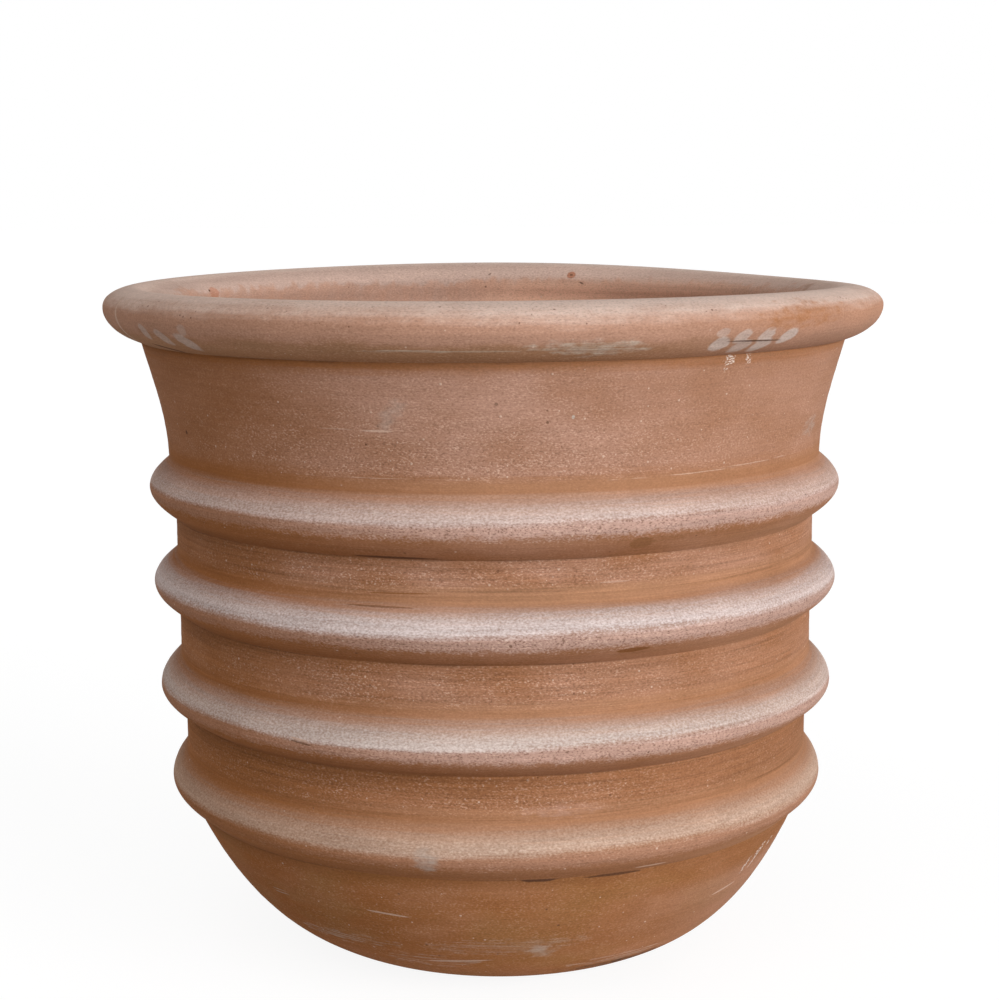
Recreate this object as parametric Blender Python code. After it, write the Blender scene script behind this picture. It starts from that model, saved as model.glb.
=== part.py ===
"""A large hand-thrown terracotta flower pot, at its real size, standing on the ground with +Z up.

The pot is raised in stages, as big pots are. A flat disc with the drain hole is the base, and a round
bowl is raised from its edge. Three short wall rings and a flared neck follow, each luted to the stage below
on a bevelled edge. A thick coil of clay, the cordon, is pressed round the outside of each of these four
joints, and a fat roll is laid on the mouth.
The origin is the centre of the foot, on the ground.
"""

from math import cos, pi, radians, sin, sqrt, tan

import bmesh
import bpy
from mathutils import Vector
from mathutils.geometry import interpolate_bezier

MM = 0.001

# Base disc, which is the floor and the foot, with the drain hole in its middle
FOOT_RADIUS = 107.5 * MM
FLOOR_THICKNESS = 24.0 * MM
DISC_BEVEL = 5.0 * MM
DRAIN_RADIUS = 20.0 * MM
DRAIN_CHAMFER = 3.0 * MM

# Bowl, from the ground at the disc's edge to the crease under the lowest cordon
FOOT_SLOPE = radians(8.0)
FOOT_REACH = 41.0 * MM
BOWL_HEIGHT = 108.0 * MM
BOWL_RADIUS = 224.5 * MM
BOWL_LEAN = radians(24.0)
BOWL_REACH = 81.0 * MM

# Wall rings, each measured from the crease under its own cordon to the crease under the next. A step is
# how much farther from the axis a stage stands than the stage below it
WALL_THICKNESS = 18.0 * MM
LOWER_WALL_HEIGHT = 70.5 * MM
LOWER_WALL_STEP = 4.5 * MM
MIDDLE_WALL_HEIGHT = 73.0 * MM
MIDDLE_WALL_STEP = 2.5 * MM
UPPER_WALL_HEIGHT = 67.5 * MM
UPPER_WALL_STEP = 0.5 * MM

# Neck, from the crease under the top cordon to the crease under the rim
NECK_HEIGHT = 127.0 * MM
NECK_STEP = 4.0 * MM
NECK_FLARE = 17.5 * MM
NECK_LEAN = radians(17.0)

# Cordons, from the lowest up: how far each stands out from the stage above it, and its height below and
# above its crest
CORDON_1_RISE = 11.0 * MM
CORDON_1_UNDERSIDE = 18.5 * MM
CORDON_1_TOPSIDE = 19.5 * MM
CORDON_2_RISE = 15.0 * MM
CORDON_2_UNDERSIDE = 17.0 * MM
CORDON_2_TOPSIDE = 20.5 * MM
CORDON_3_RISE = 17.0 * MM
CORDON_3_UNDERSIDE = 20.0 * MM
CORDON_3_TOPSIDE = 19.5 * MM
CORDON_4_RISE = 14.5 * MM
CORDON_4_UNDERSIDE = 21.5 * MM
CORDON_4_TOPSIDE = 18.5 * MM
UNDERSIDE_FULLNESS = 1.2
TOPSIDE_FULLNESS = 0.43

# Rim roll, measured from the crease where it meets the neck
RIM_OVERHANG = 26.5 * MM
RIM_UNDERSIDE = 27.0 * MM
RIM_CROWN = 15.0 * MM
RIM_FULLNESS = 0.89
RIM_LIP = 3.5 * MM

# Joints between the stages, and the hair's breadth left between one piece of clay and the next
BEVEL_FALL = 8.0 * MM
SEAM = 0.3 * MM

TURNING_STEPS = 64
BOWL_POINTS = 11
NECK_POINTS = 6
CORDON_STEPS = 5
RIM_UNDERSIDE_STEPS = 5
RIM_CROWN_STEPS = 10

BODY_CLAY = (0.42, 0.21, 0.13, 1.0)
CORDON_CLAY = (0.53, 0.36, 0.28, 1.0)
RIM_CLAY = (0.49, 0.30, 0.22, 1.0)
CLAY_ROUGHNESS = 0.9
SHARP_CORNER = radians(35.0)


def clear_scene():
    """Removes whatever the file opened with."""
    for thing in list(bpy.data.objects):
        bpy.data.objects.remove(thing)


def fired_clay(name, colour):
    """An unglazed terracotta material."""
    material = bpy.data.materials.new(name)
    material.use_nodes = True
    shader = material.node_tree.nodes["Principled BSDF"]
    shader.inputs["Base Color"].default_value = colour
    shader.inputs["Roughness"].default_value = CLAY_ROUGHNESS
    shader.inputs["Metallic"].default_value = 0.0
    return material


def point(radius, height):
    """A point of an outline, in the half plane that is turned about the pot's axis."""
    return Vector((radius, 0.0, height))


def turned(name, outline, material):
    """Turns a closed outline once about the Z axis, as a body on the wheel."""
    mesh = bpy.data.meshes.new(name)
    shape = bmesh.new()
    corners = [shape.verts.new(place) for place in outline]
    sides = [shape.edges.new(pair) for pair in zip(corners, corners[1:] + corners[:1])]
    bmesh.ops.spin(
        shape,
        geom=corners + sides,
        cent=(0.0, 0.0, 0.0),
        axis=(0.0, 0.0, 1.0),
        angle=2 * pi,
        steps=TURNING_STEPS,
        use_merge=True,
    )
    bmesh.ops.recalc_face_normals(shape, faces=shape.faces)
    shape.to_mesh(mesh)
    shape.free()
    mesh.materials.append(material)
    mesh.shade_smooth()
    mesh.set_sharp_from_angle(angle=SHARP_CORNER)
    piece = bpy.data.objects.new(name, mesh)
    bpy.context.scene.collection.objects.link(piece)
    return piece


class Joint:
    """The bevelled joint between two stages, hidden behind its cordon.

    The crease is where the cordon's underside meets the stage below, and the cordon's top dies into the
    stage above. Between the two the wall widens in a straight line from one stage's radius to the next.
    """

    def __init__(self, crease, radius_below, radius_above, rise, underside, topside):
        self.crease = crease
        self.radius_below = radius_below
        self.radius_above = radius_above
        self.crest_radius = radius_above + rise
        self.underside = underside
        self.topside = topside
        self.height = crease + underside
        self.top = crease + underside + topside

    def wall_radius(self, height):
        """The wall's outer radius behind the cordon."""
        share = (height - self.crease) / (self.top - self.crease)
        return self.radius_below + share * (self.radius_above - self.radius_below)

    def bevel(self, lift):
        """The bevelled edge from the outside in, falling outwards so that it sheds water."""
        low = self.height - BEVEL_FALL / 2 + lift
        high = self.height + BEVEL_FALL / 2 + lift
        return [
            point(self.wall_radius(low), low),
            point(self.wall_radius(high) - WALL_THICKNESS, high),
        ]

    def lower_edge(self):
        """The top edge of the stage below, from the outside in."""
        return self.bevel(0.0)

    def upper_edge(self):
        """The bottom edge of the stage above, from the inside out."""
        return self.bevel(SEAM)[::-1]


def stage_joints():
    """The four joints, from the lowest up, each with the height of the stage below it."""
    stages = [
        (BOWL_HEIGHT, LOWER_WALL_STEP, CORDON_1_RISE, CORDON_1_UNDERSIDE, CORDON_1_TOPSIDE),
        (LOWER_WALL_HEIGHT, MIDDLE_WALL_STEP, CORDON_2_RISE, CORDON_2_UNDERSIDE, CORDON_2_TOPSIDE),
        (MIDDLE_WALL_HEIGHT, UPPER_WALL_STEP, CORDON_3_RISE, CORDON_3_UNDERSIDE, CORDON_3_TOPSIDE),
        (UPPER_WALL_HEIGHT, NECK_STEP, CORDON_4_RISE, CORDON_4_UNDERSIDE, CORDON_4_TOPSIDE),
    ]
    joints = []
    crease = 0.0
    radius = BOWL_RADIUS
    for height, step, rise, underside, topside in stages:
        crease += height
        joints.append(Joint(crease, radius, radius + step, rise, underside, topside))
        radius += step
    return joints


def bowl_line(edge_radius, floor_height, crease_radius, reach_share):
    """The bowl's line, outside or inside, from the edge of the disc up to the lowest crease."""
    start = point(edge_radius, floor_height)
    end = point(crease_radius, BOWL_HEIGHT)
    start_handle = start + reach_share * FOOT_REACH * point(cos(FOOT_SLOPE), sin(FOOT_SLOPE))
    end_handle = end - reach_share * BOWL_REACH * point(sin(BOWL_LEAN), cos(BOWL_LEAN))
    return interpolate_bezier(start, start_handle, end_handle, end, BOWL_POINTS)


def base_disc(clay):
    """The flat slab that the pot is raised on, with the drain hole and an edge bevelled for the bowl."""
    hole_edge = DRAIN_RADIUS + DRAIN_CHAMFER
    outline = [
        point(hole_edge, 0.0),
        point(FOOT_RADIUS, 0.0),
        point(FOOT_RADIUS - DISC_BEVEL, FLOOR_THICKNESS),
        point(hole_edge, FLOOR_THICKNESS),
        point(DRAIN_RADIUS, FLOOR_THICKNESS - DRAIN_CHAMFER),
        point(DRAIN_RADIUS, DRAIN_CHAMFER),
    ]
    return turned("base_disc", outline, clay)


def bowl(joint, clay):
    """The lowest stage of wall: a round bowl from the edge of the disc up to the first joint."""
    outer = bowl_line(FOOT_RADIUS + SEAM, 0.0, BOWL_RADIUS, 1.0)
    floor_edge = FOOT_RADIUS + SEAM - DISC_BEVEL
    inner_share = 1.0 - WALL_THICKNESS / BOWL_HEIGHT
    inner = bowl_line(floor_edge, FLOOR_THICKNESS, BOWL_RADIUS - WALL_THICKNESS, inner_share)
    outline = [
        *outer,
        *joint.lower_edge(),
        *reversed(inner),
    ]
    return turned("bowl", outline, clay)


def wall_ring(name, below, above, clay):
    """A short wall stage between two joints, upright between its cordons."""
    radius = below.radius_above
    inner_radius = radius - WALL_THICKNESS
    outline = [
        *below.upper_edge(),
        point(radius, below.top),
        point(radius, above.crease),
        *above.lower_edge(),
        point(inner_radius, above.crease),
        point(inner_radius, below.top),
    ]
    return turned(name, outline, clay)


def mouth_edge(joint):
    """The neck's outer top edge, at the crease where the rim roll meets it, above the topmost joint."""
    return point(joint.radius_above + NECK_FLARE, joint.crease + NECK_HEIGHT)


def neck_ring(joint, clay):
    """The top stage: a neck that rises upright from its cordon and flares out to the mouth."""
    start = point(joint.radius_above, joint.top)
    end = mouth_edge(joint)
    turn_height = end.z - NECK_FLARE / tan(NECK_LEAN)
    turn = point(start.x, max(turn_height, start.z))
    outer = interpolate_bezier(start, start.lerp(turn, 2 / 3), end.lerp(turn, 2 / 3), end, NECK_POINTS)
    inner = [place - point(WALL_THICKNESS, 0.0) for place in outer]
    outline = [
        *joint.upper_edge(),
        *outer,
        *reversed(inner),
    ]
    return turned("neck_ring", outline, clay)


def cordon(name, joint, clay):
    """A coil of clay pressed round a joint: undercut below its crest, and rounded off above it."""
    foot = joint.radius_below + SEAM
    top = joint.radius_above + SEAM
    outline = [point(foot, joint.crease)]
    for step in range(1, CORDON_STEPS + 1):
        share = step / CORDON_STEPS
        swell = (1 - (1 - share) ** 2) ** UNDERSIDE_FULLNESS
        radius = foot + (joint.crest_radius - foot) * swell
        outline.append(point(radius, joint.crease + joint.underside * share))
    for step in range(1, CORDON_STEPS + 1):
        share = step / CORDON_STEPS
        swell = (0.5 + 0.5 * cos(pi * share)) ** TOPSIDE_FULLNESS
        radius = top + (joint.crest_radius - top) * swell
        outline.append(point(radius, joint.height + joint.topside * share))
    return turned(name, outline, clay)


def rim_roll(joint, clay):
    """The fat roll laid on the neck's top edge, overhanging it outside and standing a little inside it."""
    edge = mouth_edge(joint)
    seat = edge.z + SEAM
    crown = edge.z + RIM_UNDERSIDE
    widest = edge.x + RIM_OVERHANG
    seat_inside = edge.x - WALL_THICKNESS
    narrowest = seat_inside - RIM_LIP
    outline = []
    first_swell = sqrt(1 - RIM_FULLNESS)
    for step in range(RIM_UNDERSIDE_STEPS):
        share = step / RIM_UNDERSIDE_STEPS
        swell = (sqrt(1 - RIM_FULLNESS * (1 - share) ** 2) - first_swell) / (1 - first_swell)
        outline.append(point(edge.x + RIM_OVERHANG * swell, seat + (crown - seat) * share))
    middle = (widest + narrowest) / 2
    half_width = (widest - narrowest) / 2
    for step in range(RIM_CROWN_STEPS + 1):
        angle = pi * step / RIM_CROWN_STEPS
        outline.append(point(middle + half_width * cos(angle), crown + RIM_CROWN * sin(angle)))
    outline.append(point(seat_inside, seat))
    return turned("rim_roll", outline, clay)


def build_pot():
    """Builds every stage, cordon and the rim."""
    body_clay = fired_clay("terracotta_body", BODY_CLAY)
    cordon_clay = fired_clay("terracotta_cordon", CORDON_CLAY)
    rim_clay = fired_clay("terracotta_rim", RIM_CLAY)
    joints = stage_joints()
    base_disc(body_clay)
    bowl(joints[0], body_clay)
    wall_ring("lower_wall_ring", joints[0], joints[1], body_clay)
    wall_ring("middle_wall_ring", joints[1], joints[2], body_clay)
    wall_ring("upper_wall_ring", joints[2], joints[3], body_clay)
    neck_ring(joints[3], body_clay)
    for number, joint in enumerate(joints, start=1):
        cordon(f"cordon_{number}", joint, cordon_clay)
    rim_roll(joints[3], rim_clay)


clear_scene()
build_pot()
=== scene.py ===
from math import cos, degrees, pi, radians, sin

import bpy
from mathutils import Matrix, Vector


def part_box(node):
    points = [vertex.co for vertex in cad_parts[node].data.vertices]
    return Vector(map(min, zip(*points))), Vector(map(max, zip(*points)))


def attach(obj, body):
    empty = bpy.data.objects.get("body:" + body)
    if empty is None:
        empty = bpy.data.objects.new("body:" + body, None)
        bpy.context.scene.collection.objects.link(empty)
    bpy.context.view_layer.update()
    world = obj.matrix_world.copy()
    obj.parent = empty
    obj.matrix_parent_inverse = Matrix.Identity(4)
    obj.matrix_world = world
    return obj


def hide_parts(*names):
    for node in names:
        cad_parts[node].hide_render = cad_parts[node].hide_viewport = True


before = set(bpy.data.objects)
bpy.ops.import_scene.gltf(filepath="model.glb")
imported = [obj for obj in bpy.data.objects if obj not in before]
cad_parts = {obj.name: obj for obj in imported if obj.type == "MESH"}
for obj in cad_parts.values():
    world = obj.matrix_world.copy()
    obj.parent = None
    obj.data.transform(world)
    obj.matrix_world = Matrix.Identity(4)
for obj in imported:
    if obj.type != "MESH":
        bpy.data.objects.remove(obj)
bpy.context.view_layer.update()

# Base disc: the slab of clay that the pot is raised on. It is beaten flat on the wheel head, pierced for
# drainage while it is soft, and dusted with sand so that it comes away.
MM = 0.001
DISC_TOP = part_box("base_disc")[1].z / MM
DISC_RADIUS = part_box("base_disc")[1].x / MM
DISC_BEVEL = 5.0
DISC_HOLLOW = 1.2
DISC_HOLLOW_EDGE = (72.0, 94.0)
DISC_RING_DEPTH = 0.5
DISC_RING_PITCH = 13.0
DISC_RING_FADE = 0.2
DRAIN_RADIUS = 20.0
DRAIN_SOFTENING = 3.5
DISC_SPACING = 2.5
DRAIN_SPACING = 1.2

# How fine the turned meshes are: steps round the pot, and the spacing of an outline's points
STEPS_AROUND = 512
SEEN_SPACING = 1.9
LINING_SPACING = 3.2
HIDDEN_SPACING = 7.0
MEASURING_STEPS = 24
SHARP_CORNER = radians(40.0)

# How uneven the thrown clay is. A swell of the rim is its bearing, sharpness and height
OUT_OF_ROUND = 0.8
SWAY_LUMP = (0.9, 0.16)
THROWING_RIPPLE = 0.5
RIPPLE_LUMP = (0.6, 0.0045)
FINGER_RIDGE = 0.55
RIDGE_PITCH = 11.0
RIDGE_FADE_AT_FLOOR = 30.0
RIDGE_FADE_AT_RIM = (20.0, 50.0)
FOOT_SHIFT = 4.0
FOOT_SHIFT_BEND = 1.5
RIM_SWELLS = ((178.0, 7.0, 5.3), (112.0, 8.0, -3.5), (230.0, 10.0, 1.6))
RIM_SWELL_FADE = 90.0
LIP_DIP = 3.6
LIP_DIP_BEARING = -60.0
LIP_DIP_SHARPNESS = 5.0
LIP_DIP_FADE = (12.0, 30.0)
WHEEL_SEED = 4.0

# The colours that every piece of the clay starts from
ORANGE_CLAY = (0.345, 0.150, 0.068, 1.0)
BROWN_CLAY = (0.300, 0.128, 0.058, 1.0)
# Painted shade for creases, which is also the colour of dark stains and cracks
CREASE_SHADE_AND_STAIN = (0.210, 0.080, 0.026, 1.0)
CRACK = (0.075, 0.034, 0.020, 1.0)
SHADED_SIDE_CLAY = (0.305, 0.110, 0.030, 1.0)
PINK_HAZE = (0.460, 0.272, 0.205, 1.0)
PALE_GRIT = (0.610, 0.440, 0.340, 1.0)
DARK_GRIT = (0.160, 0.072, 0.042, 1.0)
CLAY_ROUGHNESS = 0.9
CLAY_SHEEN_LEVEL = 0.10


def node(tree, kind, settings=None, sockets=None, output=0):
    """Adds a node with its settings, then the values or links of its sockets. Gives one of its outputs."""
    made = tree.nodes.new(kind)
    for name, value in (settings or {}).items():
        setattr(made, name, value)
    for key, value in (sockets or {}).items():
        if isinstance(value, Wire):
            tree.links.new(value.socket, made.inputs[key])
        else:
            made.inputs[key].default_value = value
    return Wire(tree, made.outputs[output])


class Wire:
    """An output socket of a node. Sums written with it add their Math nodes to its tree."""

    def __init__(self, tree, socket):
        self.tree = tree
        self.socket = socket

    def also(self, output):
        """Another output of the same node."""
        return Wire(self.tree, self.socket.node.outputs[output])

    def math(self, operation, *others):
        sockets = dict(enumerate((self, *others)))
        return node(self.tree, "ShaderNodeMath", {"operation": operation}, sockets)

    def __add__(self, other):
        return self.math("ADD", other)

    def __radd__(self, other):
        return self.math("ADD", other)

    def __mul__(self, other):
        return self.math("MULTIPLY", other)

    def __rmul__(self, other):
        return self.math("MULTIPLY", other)

    def __sub__(self, other):
        return self.math("SUBTRACT", other)

    def __rsub__(self, other):
        return node(self.tree, "ShaderNodeMath", {"operation": "SUBTRACT"}, {0: other, 1: self})

    def __neg__(self):
        return self.math("MULTIPLY", -1.0)

    def __truediv__(self, other):
        return self.math("DIVIDE", other)

    def __pow__(self, other):
        return self.math("POWER", other)

    def rise(self, low, high):
        """0 at low, 1 at high and smooth between. It falls where low is the higher of the two."""
        sockets = {"Value": self, "From Min": low, "From Max": high}
        return node(self.tree, "ShaderNodeMapRange", {"interpolation_type": "SMOOTHSTEP"}, sockets)

    def hump(self, low, high, edge):
        """1 between low and high, and falling to 0 over the width of the edge on either side."""
        return self.rise(low - edge, low) * self.rise(high + edge, high)

    def vector(self, operation, other, output=0):
        sockets = {0: self, 1: other}
        return node(self.tree, "ShaderNodeVectorMath", {"operation": operation}, sockets, output)

    def parts(self):
        """The X, Y and Z of a vector."""
        x = node(self.tree, "ShaderNodeSeparateXYZ", {}, {0: self})
        return x, x.also(1), x.also(2)


def joined(tree, x, y, z):
    """A vector from its X, Y and Z."""
    return node(tree, "ShaderNodeCombineXYZ", {}, {0: x, 1: y, 2: z})


def grain(place, around, up, detail=2.0, seed=0.0):
    """Noise from 0 to 1 in lumps of this width and height, in the units of the place."""
    scaled = place.vector("MULTIPLY", (1 / around, 1 / around, 1 / up))
    moved = scaled.vector("ADD", (seed, 1.7 * seed, -2.3 * seed))
    sockets = {"Vector": moved, "Scale": 1.0, "Detail": detail}
    return node(place.tree, "ShaderNodeTexNoise", {}, sockets)


def wheel():
    """The tree that turns a closed outline about the Z axis, as unevenly as clay thrown by hand.

    The outline lies in the XZ plane. Its loose points are the places where the soft clay was dented.
    """
    tree = bpy.data.node_groups.new("thrown_on_the_wheel", "GeometryNodeTree")
    sizes = ("Out of round", "Throwing ripple", "Finger ridge", "Ridge pitch", "Foot shift", "Seed")
    places = ("Floor height", "Bowl height", "Rim height", "Lip radius")
    tree.interface.new_socket("Outline", in_out="INPUT", socket_type="NodeSocketGeometry")
    tree.interface.new_socket("Steps around", in_out="INPUT", socket_type="NodeSocketInt")
    for name in sizes + places:
        tree.interface.new_socket(name, in_out="INPUT", socket_type="NodeSocketFloat")
    tree.interface.new_socket("Clay", in_out="INPUT", socket_type="NodeSocketMaterial")
    tree.interface.new_socket("Piece", in_out="OUTPUT", socket_type="NodeSocketGeometry")
    group = tree.nodes.new("NodeGroupInput")
    given = {socket.name: Wire(tree, socket) for socket in group.outputs if socket.name}

    def add(kind, settings=None, sockets=None, output=0):
        return node(tree, kind, settings, sockets, output)

    def kept(geometry, kind, field):
        """Stores a field on the points. Gives the geometry and the stored field."""
        keeper = tree.nodes.new("GeometryNodeCaptureAttribute")
        keeper.capture_items.new(kind, "Kept")
        tree.links.new(geometry.socket, keeper.inputs[0])
        tree.links.new(field.socket, keeper.inputs[1])
        return Wire(tree, keeper.outputs[0]), Wire(tree, keeper.outputs[1])

    def named(name):
        return add("GeometryNodeInputNamedAttribute", {"data_type": "FLOAT"}, {"Name": name})

    # The turning itself
    spot = add("GeometryNodeInputPosition")
    profile = add("GeometryNodeMeshToCurve", {}, {"Mesh": given["Outline"]})
    profile, drawn = kept(profile, "VECTOR", spot)
    profile, inside = kept(profile, "FLOAT", named("inside"))
    ring = {"Resolution": given["Steps around"], "Radius": 1.0}
    rail = add("GeometryNodeCurvePrimitiveCircle", {"mode": "RADIUS"}, ring)
    rail, turn = kept(rail, "FLOAT", add("GeometryNodeInputIndex") * (2 * pi) / given["Steps around"])
    body = add("GeometryNodeCurveToMesh", {}, {"Curve": rail, "Profile Curve": profile})
    body = add("GeometryNodeFlipFaces", {}, {"Mesh": body})
    radius, _, height = drawn.parts()
    east = turn.math("SINE")
    south = turn.math("COSINE")
    turned = joined(tree, radius * east, -(radius * south), height)
    body = add("GeometryNodeSetPosition", {}, {"Geometry": body, "Position": turned})

    # Unevenness that follows the place alone, so that neighbouring pieces still meet
    swing = joined(tree, east + given["Seed"], south, height)
    sway = grain(swing, *SWAY_LUMP, detail=1.0) - 0.5
    ripple = grain(swing, *RIPPLE_LUMP, detail=3.0)
    spiral = (height * (2 * pi) / given["Ridge pitch"] + turn).math("SINE")
    ends = height.rise(given["Floor height"], given["Floor height"] + RIDGE_FADE_AT_FLOOR * MM)
    rim_fade = [given["Rim height"] - fade * MM for fade in RIDGE_FADE_AT_RIM]
    ends = ends * height.rise(*rim_fade)
    push = (ripple - 0.5) * given["Throwing ripple"] + sway * given["Out of round"]
    push = push + spiral * inside * ends * given["Finger ridge"]
    lift = 0.0
    for bearing, sharpness, swell in RIM_SWELLS:
        toward = east * sin(radians(bearing)) + south * cos(radians(bearing))
        lift = (toward * 0.5 + 0.5) ** sharpness * (swell * MM) + lift
    inner_edge, outer_edge = [given["Lip radius"] + fade * MM for fade in LIP_DIP_FADE]
    lip = radius.rise(outer_edge, inner_edge)
    toward = east * sin(radians(LIP_DIP_BEARING)) + south * cos(radians(LIP_DIP_BEARING))
    lift = lift - (toward * 0.5 + 0.5) ** LIP_DIP_SHARPNESS * lip * (LIP_DIP * MM)
    lift = lift * height.rise(given["Rim height"] - RIM_SWELL_FADE * MM, given["Rim height"])
    low = (1.0 - height / given["Bowl height"]).math("MAXIMUM", 0.0)
    aside = low ** FOOT_SHIFT_BEND * given["Foot shift"]
    offset = joined(tree, push * east + aside, -(push * south), lift)
    body = add("GeometryNodeSetPosition", {}, {"Geometry": body, "Offset": offset})

    # Dents: each point is pressed in by the loose point nearest to it
    picked = named("dent depth").math("ABSOLUTE").math("GREATER_THAN", 0.0)
    loose = {"Mesh": given["Outline"], "Selection": picked}
    dents = add("GeometryNodeMeshToPoints", {"mode": "VERTICES"}, loose)
    nearest = add("GeometryNodeSampleNearest", {}, {"Geometry": dents})

    def of_dent(kind, field):
        sockets = {"Geometry": dents, "Value": field, "Index": nearest}
        return add("GeometryNodeSampleIndex", {"data_type": kind}, sockets)

    away = spot.vector("SUBTRACT", of_dent("FLOAT_VECTOR", spot))
    across = away.vector("DOT_PRODUCT", joined(tree, south, east, 0.0), output=1)
    rest = away.vector("DOT_PRODUCT", away, output=1) - across * across
    wide = (across / of_dent("FLOAT", named("dent width"))) ** 2.0
    tall = rest / of_dent("FLOAT", named("dent height")) ** 2.0
    hollow = (1.0 - wide - tall).math("MAXIMUM", 0.0)
    depth = -(hollow * hollow * of_dent("FLOAT", named("dent depth")))
    normal = add("GeometryNodeInputNormal")
    pressed = add("ShaderNodeVectorMath", {"operation": "SCALE"}, {0: normal, "Scale": depth})
    body = add("GeometryNodeSetPosition", {}, {"Geometry": body, "Offset": pressed})

    body = add("GeometryNodeSetShadeSmooth", {}, {0: body})
    body = add("GeometryNodeRealizeInstances", {}, {0: body})
    body = add("GeometryNodeSetMaterial", {}, {"Geometry": body, "Material": given["Clay"]})
    out = tree.nodes.new("NodeGroupOutput")
    tree.links.new(body.socket, out.inputs["Piece"])
    return tree


def straight(start, end):
    """A straight run of an outline."""
    return lambda share: start.lerp(end, share)


def rounded(centre, across, up, first, last):
    """A round run of an outline, from one angle to another in degrees."""

    def at(share):
        angle = radians(first + (last - first) * share)
        return centre + Vector((across * cos(angle), up * sin(angle)))

    return at


def swept(start, start_handle, end_handle, end):
    """A Bezier run of an outline."""

    def at(share):
        rest = 1.0 - share
        return (
            start * rest**3
            + start_handle * 3 * rest**2 * share
            + end_handle * 3 * rest * share**2
            + end * share**3
        )

    return at


def traced(*runs):
    """The points of a closed outline. Each run is its curve, its spacing and 1 where it lines the inside."""
    points = []
    for curve, spacing, inside in runs:
        rough = [curve(step / MEASURING_STEPS) for step in range(MEASURING_STEPS + 1)]
        length = sum((after - before).length for before, after in zip(rough, rough[1:]))
        count = max(1, round(length / spacing))
        points += [(*curve(step / count), inside) for step in range(count)]
    return points


WHEEL = wheel()
WHEEL_SIZES = {
    "Steps around": STEPS_AROUND,
    "Out of round": OUT_OF_ROUND * MM,
    "Throwing ripple": THROWING_RIPPLE * MM,
    "Finger ridge": FINGER_RIDGE * MM,
    "Ridge pitch": RIDGE_PITCH * MM,
    "Foot shift": FOOT_SHIFT * MM,
    "Seed": WHEEL_SEED,
    "Floor height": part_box("base_disc")[1].z,
    "Bowl height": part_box("cordon_1")[0].z,
    "Rim height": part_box("rim_roll")[1].z,
    # The dip of the lip is measured outwards from here, a disc's thickness inside the neck's edge
    "Lip radius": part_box("neck_ring")[1].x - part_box("base_disc")[1].z,
}


def thrown(name, outline, clay, dents=()):
    """Makes a piece from its outline in millimetres.

    A dent is its angle, height and radius, then its half width, half height and depth.
    """
    places = [(across * MM, 0.0, up * MM) for across, up, _ in outline]
    edges = [(step, (step + 1) % len(places)) for step in range(len(places))]
    for angle, up, across, *_ in dents:
        turn = radians(angle)
        places.append((across * sin(turn) * MM, -across * cos(turn) * MM, up * MM))
    mesh = bpy.data.meshes.new(name + "_outline")
    mesh.from_pydata(places, edges, [])
    rows = {
        "inside": [inside for *_, inside in outline] + [0.0] * len(dents),
        "dent width": [0.0] * len(outline) + [dent[3] * MM for dent in dents],
        "dent height": [0.0] * len(outline) + [dent[4] * MM for dent in dents],
        "dent depth": [0.0] * len(outline) + [dent[5] * MM for dent in dents],
    }
    for word, values in rows.items():
        mesh.attributes.new(word, "FLOAT", "POINT").data.foreach_set("value", values)
    blank = bpy.data.objects.new(name + "_blank", mesh)
    bpy.context.scene.collection.objects.link(blank)
    modifier = blank.modifiers.new("thrown", "NODES")
    modifier.node_group = WHEEL
    identifiers = {item.name: item.identifier for item in WHEEL.interface.items_tree}
    for word, value in WHEEL_SIZES.items():
        modifier[identifiers[word]] = value
    modifier[identifiers["Clay"]] = clay
    evaluated = blank.evaluated_get(bpy.context.evaluated_depsgraph_get())
    finished = bpy.data.meshes.new_from_object(evaluated)
    bpy.data.objects.remove(blank)
    bpy.data.meshes.remove(mesh)
    finished.set_sharp_from_angle(angle=SHARP_CORNER)
    piece = bpy.data.objects.new(name + "_clay", finished)
    bpy.context.scene.collection.objects.link(piece)
    return piece


# How ragged and how soft the edge of each kind of mark is
MARK_EDGES = {
    "print": (1.0, 0.5),
    "scratch": (1.0, 0.4),
    "crack": (1.2, 0.5),
    "scuff": (3.0, 0.8),
    "chalk": (6.0, 0.5),
    "smudge": (3.0, 1.6),
}


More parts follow.
